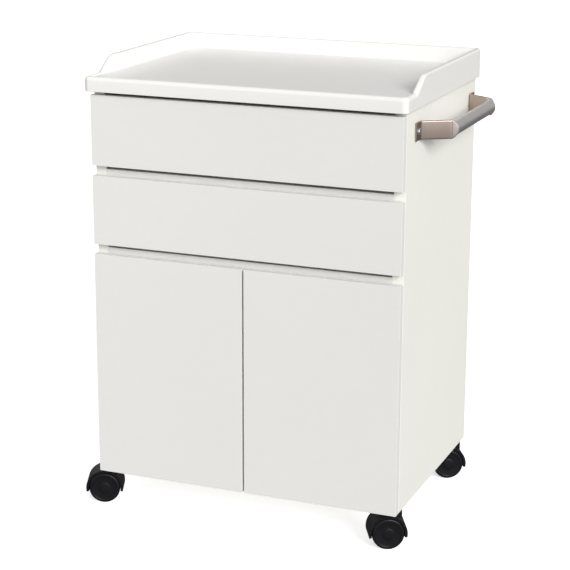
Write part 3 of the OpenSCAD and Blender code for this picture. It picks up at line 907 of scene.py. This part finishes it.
def handle_line():
    """The handle's centre line from one flange to the middle, as stations of
    (out, along, turn, half thickness, half height)."""
    s = sizes()
    low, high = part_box("handle")
    half = (high.y - low.y) / 2
    tall = (high.z - low.z) / 2
    grip = high.x - low.x - s.grip_reach
    flat = s.grip_flat / 2
    seat = FLANGE_SEAT
    corners = [
        Vector((seat, half)),
        Vector((seat, s.grip_half + s.arm_spread - ARM_IN[0])),
        Vector((s.grip_reach, s.grip_half - ARM_IN[1])),
        Vector((s.grip_reach, 0)),
    ]
    stations = []

    def add(at, turn, thick, high_half):
        stations.append((at.x, at.y, turn, thick, high_half))

    ways = [(corners[i + 1] - corners[i]).normalized() for i in range(3)]
    turns = [math.atan2(way.x, -way.y) for way in ways]
    for step, (thick, inward) in enumerate(END_SHARES):
        add(corners[0] + ways[0] * step * END_STEP, 0, seat * thick, tall * inward)
    add(corners[1] - ways[0] * FLANGE_FLAT, 0, seat, tall)
    for bend, radius in BENDS:
        turn = abs(turns[bend] - turns[bend - 1])
        run = radius * math.tan(turn / 2)
        for step in range(BEND_STEPS + 1):
            part = step / BEND_STEPS
            first = blend(corners[bend] - ways[bend - 1] * run, corners[bend], part)
            second = blend(corners[bend], corners[bend] + ways[bend] * run, part)
            thick = blend(seat, flat, part) if bend == 1 else flat
            wide = tall
            if bend == 2:
                swell = max(0.0, part - 0.5) ** 1.3
                thick, wide = blend(flat, grip, swell), blend(tall, grip, swell**1.5)
            add(blend(first, second, part), blend(turns[bend - 1], turns[bend], part), thick, wide)
        if bend == 1:
            for part in (0.25, 0.5, 0.75):
                add(blend(corners[1], corners[2], part), turns[1], flat, tall)
    end = stations[-1][1]
    for down, swell in SWELL:
        at = Vector((s.grip_reach, end - down * MM))
        add(at, 0, blend(flat, grip, swell), blend(tall, grip, swell**1.4))
    for part in (0.85, 0.6, 0.35, 0.12):
        add(Vector((s.grip_reach, (end - SWELL[-1][0] * MM) * part)), 0, grip, grip)
    return stations


def pressed_section(thick, tall, steps=10):
    """A round tube pressed towards flat: straight sides between half-round edges."""
    radius = min(thick, tall)
    points = []
    for side in range(4):
        for step in range(steps):
            turn = math.pi / 2 * (side + step / (steps - 1))
            out = 1 if side in (0, 3) else -1
            up = 1 if side in (0, 1) else -1
            points.append(
                (
                    out * (thick - radius) + radius * math.cos(turn),
                    up * (tall - radius) + radius * math.sin(turn),
                )
            )
    return points


def handle_rings():
    """The handle's sections along its whole length, its second half mirrored from the first."""
    low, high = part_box("handle")
    mid = (low + high) / 2
    half = handle_line()
    line = half + [(out, -along, -turn, t, h) for out, along, turn, t, h in reversed(half)]
    rings = []
    for out, along, turn, thick, tall in line:
        across = Vector((math.cos(turn), math.sin(turn), 0))
        at = Vector((low.x + out, mid.y + along, mid.z))
        ring = [at + across * a + Vector((0, 0, b)) for a, b in pressed_section(thick, tall)]
        rings.append(ring)
    return rings


SCREW_HEAD = 5 * MM  # radius of a handle screw's head
HEAD_DOME = 1.5 * MM  # radius worked onto its edge


class CABINET_OT_handle(bpy.types.Operator):
    """Make the handle, one steel tube with its ends pressed flat and bent, and its screws"""

    bl_idname = "cabinet.handle"
    bl_label = "Handle"

    def execute(self, context):
        bm = bmesh.new()
        start, end = loft(bm, handle_rings())
        closed(bm, start, end)
        finished(bm, "handle_tube", "steel", ("handle",), even=False)
        screws = node_copy("handle_screws")
        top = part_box("handle_screws")[1].x
        edges = [
            e
            for e in folds(screws, math.radians(60))
            if all(abs(v.co.x - top) < NEAR for v in e.verts) and self.outer(e)
        ]
        rounded(screws, edges, HEAD_DOME, 4)
        finished(screws, "handle_screws_domed", "zinc", ("handle_screws",))
        return {"FINISHED"}

    def outer(self, edge):
        """True for the head's round edge, and not for the recess."""
        at = (edge.verts[0].co + edge.verts[1].co) / 2
        low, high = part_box("handle_screws")
        heads = (low.y + SCREW_HEAD, high.y - SCREW_HEAD)
        y = min(heads, key=lambda place: abs(place - at.y))
        return math.hypot(at.y - y, at.z - (low.z + high.z) / 2) > 0.9 * SCREW_HEAD


# ---- Casters ----


# A wheel's two faces in millimetres, as (radius, depth from that face)
INNER_FACE = (
    (0, 0.6), (7.4, 0.6), (8, 1.2), (8, 4.6), (8.6, 5), (19.2, 5), (20, 4.4), (20, 0.5),
    (20.5, 0), (22, 0),
)
OUTER_FACE = (
    (22, 0), (20.6, 0), (20.2, 0.25), (19.9, 1.0), (19.2, 1.3), (12.5, 1.7), (9.4, 1.7),
    (8.9, 1.5), (8.6, 0.7), (8.1, 0.35), (5, 0.15), (0, 0.05),
)
TREAD = 25 * MM  # radius of the wheel
CROWN = 3 * MM  # radius of the tread's edges


def wheel_profile():
    """Half the section of a wheel, from its inner hub to the cap, as (radius, 0, along)."""
    w = sizes().wheel_width
    points = [Vector((r * MM, 0, z * MM)) for r, z in INNER_FACE]
    for a in quarter(5):
        points.append(Vector((TREAD - CROWN * (1 - math.sin(a)), 0, CROWN * (1 - math.cos(a)))))
    points.append(Vector((TREAD, 0, CROWN)))
    points.append(Vector((TREAD, 0, w - CROWN)))
    for a in quarter(5):
        points.append(Vector((TREAD - CROWN * (1 - math.cos(a)), 0, w - CROWN * (1 - math.sin(a)))))
    return points + [Vector((r * MM, 0, w - d * MM)) for r, d in OUTER_FACE]


def wheel(node, partner, name):
    """One wheel of a pair, turned about its axle from its section."""
    w = sizes().wheel_width
    out = (middle(node) - middle(partner)).normalized()
    base = middle(node) - out * w / 2
    bm = bmesh.new()
    verts = [bm.verts.new(point) for point in wheel_profile()]
    edges = [bm.edges.new(pair) for pair in zip(verts, verts[1:])]
    bmesh.ops.spin(
        bm,
        geom=verts + edges,
        cent=(0, 0, 0),
        axis=(0, 0, 1),
        angle=math.tau,
        steps=lighting().wheel_steps,
        use_merge=True,
    )
    bmesh.ops.remove_doubles(bm, verts=bm.verts, dist=WELD)
    bmesh.ops.recalc_face_normals(bm, faces=bm.faces)
    turn = Vector((0, 0, 1)).rotation_difference(out).to_matrix().to_4x4()
    bmesh.ops.transform(bm, matrix=Matrix.Translation(base) @ turn, verts=bm.verts)
    finished(bm, name, "black", (node,))


class CABINET_OT_casters(bpy.types.Operator):
    """Make the four twin-wheel casters: hoods, wheels, axles, stems and sockets"""

    bl_idname = "cabinet.casters"
    bl_label = "Casters"

    def execute(self, context):
        for corner in CORNERS:
            worked("hood_" + corner, "black", 1.1 * MM, 3)
            pair = ["wheel_" + corner + "_" + side for side in "ab"]
            wheel(pair[0], pair[1], pair[0] + "_turned")
            wheel(pair[1], pair[0], pair[1] + "_turned")
            dress("axle_" + corner, "axle")
        dress("caster_stems", "axle")
        dress("caster_sockets", "zinc")
        return {"FINISHED"}


# ---- Fittings ----


class CABINET_OT_fittings(bpy.types.Operator):
    """Make the hinges, catches, runners, bumpers, pins, dowels and hidden screws"""

    bl_idname = "cabinet.fittings"
    bl_label = "Fittings"

    def execute(self, context):
        for side in ("left", "right"):
            worked("hinge_arms_" + side, "zinc", 0.8 * MM, 2)
            worked("hinge_cups_" + side, "zinc", 0.25 * MM, 2, 3 * MM)
            dress("strike_" + side, "zinc")
            dress("door_bumpers_" + side, "bumper")
        worked("drawer_runners", "nylon", 0.6 * MM)
        worked("door_catches", "nylon", 0.8 * MM)
        for drawer in ("upper", "lower"):
            dress(drawer + "_drawer_bumpers", "bumper")
        dress("shelf_pins", "zinc")
        dress("tray_screws", "zinc")
        dress("dowels", "beech")
        return {"FINISHED"}


# ---- Stage ----


# The soft lights: their places, widths and what they look at
FILL = ((-1.8, -2.6, 1.3), 2.0, (0, 0, 0.38))
OVERHEAD = ((0.5, -0.3, 3.2), 2.4, (0, 0, 0.7))
MIRRORED_DEPTH = 2 * MM  # of the mirrored floor under the floor
FLOOR_HALF = 40  # metres


def soft_light(name, power, place, size, at):
    """A round area light that looks at a point."""
    lamp = bpy.data.lights.new(name, "AREA")
    lamp.shape = "DISK"
    lamp.size = size
    lamp.energy = power
    light = bpy.data.objects.new(name, lamp)
    light.location = place
    light.rotation_euler = (Vector(at) - Vector(place)).to_track_quat("-Z", "Y").to_euler()
    bpy.context.scene.collection.objects.link(light)


def floor_material(name, share, glow):
    """A floor with a faint mottle, a share of the floor's colour and a glow of its own."""
    g = Graph(name)
    mottle = g.noise(3.0, 3.0)
    base = shade(tuple(colours().floor), share)
    tone = g.tint(mottle, shade(base, 0.99), base)
    flat = g.bump(g.noise(400.0, 2.0), 0.00002, 0.1)
    return g.finish(
        tone,
        0.9 + mottle * 0.05,
        flat,
        Specular_IOR_Level=0.0,
        Emission_Color=(1, 1, 1, 1),
        Emission_Strength=glow,
    )


def ground(name, level, share, glow):
    """A wide level sheet with the floor's material."""
    bm = bmesh.new()
    bmesh.ops.create_grid(bm, x_segments=8, y_segments=8, size=FLOOR_HALF)
    mesh = bpy.data.meshes.new(name)
    bm.to_mesh(mesh)
    bm.free()
    mesh.materials.append(floor_material(name, share, glow))
    sheet = bpy.data.objects.new(name, mesh)
    sheet.location.z = level
    bpy.context.scene.collection.objects.link(sheet)
    return sheet


def even_room(strength):
    """White light from all round, weaker from straight above, on a plain white backdrop."""
    g = Graph("Even room", "worlds")
    way = g.node("ShaderNodeTexCoord", out="Generated")
    up = g.node("ShaderNodeSeparateXYZ", None, {0: way}, out=2)
    level = g.node("ShaderNodeMapRange", None, {0: up, 1: 0.1, 2: 0.9, 3: 1.0, 4: 0.9})
    seen = g.node("ShaderNodeLightPath")
    power = level * strength * (1 - seen) + seen
    glow = g.node("ShaderNodeBackground", None, {"Color": (1, 1, 1, 1), "Strength": power})
    g.node("ShaderNodeOutputWorld", None, {"Surface": glow})
    return g.owner


class CABINET_OT_stage(bpy.types.Operator):
    """Make the floor, the darker floor that glossy pieces mirror, the lights and the camera"""

    bl_idname = "cabinet.stage"
    bl_label = "Stage"

    def execute(self, context):
        look = lighting()
        scene = context.scene
        floor = ground("studio_floor", 0, 1.0, look.floor_glow)
        floor.visible_diffuse = False
        floor.visible_glossy = False
        mirrored = ground("mirrored_floor", -MIRRORED_DEPTH, look.mirrored_tone, 0.0)
        mirrored.visible_camera = False
        mirrored.visible_diffuse = False
        mirrored.visible_shadow = False

        scene.world = even_room(look.sky)
        soft_light("fill_light", look.fill, *FILL)
        soft_light("overhead_light", look.overhead, *OVERHEAD)
        lamp = bpy.data.lights.new("key_light", "SUN")
        lamp.energy = look.key
        lamp.angle = look.key_spread
        sun = bpy.data.objects.new("key_light", lamp)
        level = math.cos(look.key_elevation)
        towards = Vector(
            (
                math.sin(look.key_azimuth) * level,
                -math.cos(look.key_azimuth) * level,
                math.sin(look.key_elevation),
            )
        )
        sun.rotation_euler = towards.to_track_quat("Z", "Y").to_euler()
        scene.collection.objects.link(sun)
        scene.view_settings.view_transform = "Standard"

        lens = bpy.data.cameras.new("camera")
        lens.lens = look.lens
        lens.sensor_width = 36.0
        camera = bpy.data.objects.new("camera", lens)
        az, el, roll = look.azimuth, look.elevation, look.roll
        ahead = Vector((-math.sin(az) * math.cos(el), math.cos(az) * math.cos(el), -math.sin(el)))
        level = Vector((math.cos(az), math.sin(az), 0))
        above = level.cross(ahead)
        right = level * math.cos(roll) + above * math.sin(roll)
        turned = Matrix((right, right.cross(ahead), -ahead)).transposed().to_4x4()
        camera.matrix_world = Matrix.Translation(Vector(look.camera)) @ turned
        scene.collection.objects.link(camera)
        scene.camera = camera
        return {"FINISHED"}


# ---- Panel ----


class CABINET_PT_panel(bpy.types.Panel):
    """Lists the cabinet's pieces, sizes and colours"""

    bl_label = "Bedside cabinet"
    bl_idname = "CABINET_PT_panel"
    bl_space_type = "VIEW_3D"
    bl_region_type = "UI"
    bl_category = "Cabinet"

    def draw(self, context):
        pieces = self.layout.column(align=True)
        for each in OPERATORS:
            pieces.operator(each.bl_idname)
        for heading, group in (
            ("Sizes", context.scene.cabinet_sizes),
            ("Colours", context.scene.cabinet_colours),
            ("Camera and light", context.scene.cabinet_stage),
        ):
            column = self.layout.column(align=True)
            column.label(text=heading)
            for name in type(group).__annotations__:
                column.prop(group, name)


OPERATORS = (
    CABINET_OT_stage,
    CABINET_OT_boards,
    CABINET_OT_tray,
    CABINET_OT_handle,
    CABINET_OT_casters,
    CABINET_OT_fittings,
)
CLASSES = (CabinetSizes, CabinetColours, CabinetStage, *OPERATORS, CABINET_PT_panel)


def register():
    for each in CLASSES:
        bpy.utils.register_class(each)
    bpy.types.Scene.cabinet_sizes = PointerProperty(type=CabinetSizes)
    bpy.types.Scene.cabinet_colours = PointerProperty(type=CabinetColours)
    bpy.types.Scene.cabinet_stage = PointerProperty(type=CabinetStage)


def unregister():
    del bpy.types.Scene.cabinet_stage
    del bpy.types.Scene.cabinet_colours
    del bpy.types.Scene.cabinet_sizes
    for each in reversed(CLASSES):
        bpy.utils.unregister_class(each)


def main():
    register()
    bpy.ops.cabinet.stage()
    bpy.ops.cabinet.boards()
    bpy.ops.cabinet.tray()
    bpy.ops.cabinet.handle()
    bpy.ops.cabinet.casters()
    bpy.ops.cabinet.fittings()


if __name__ == "__main__":
    main()
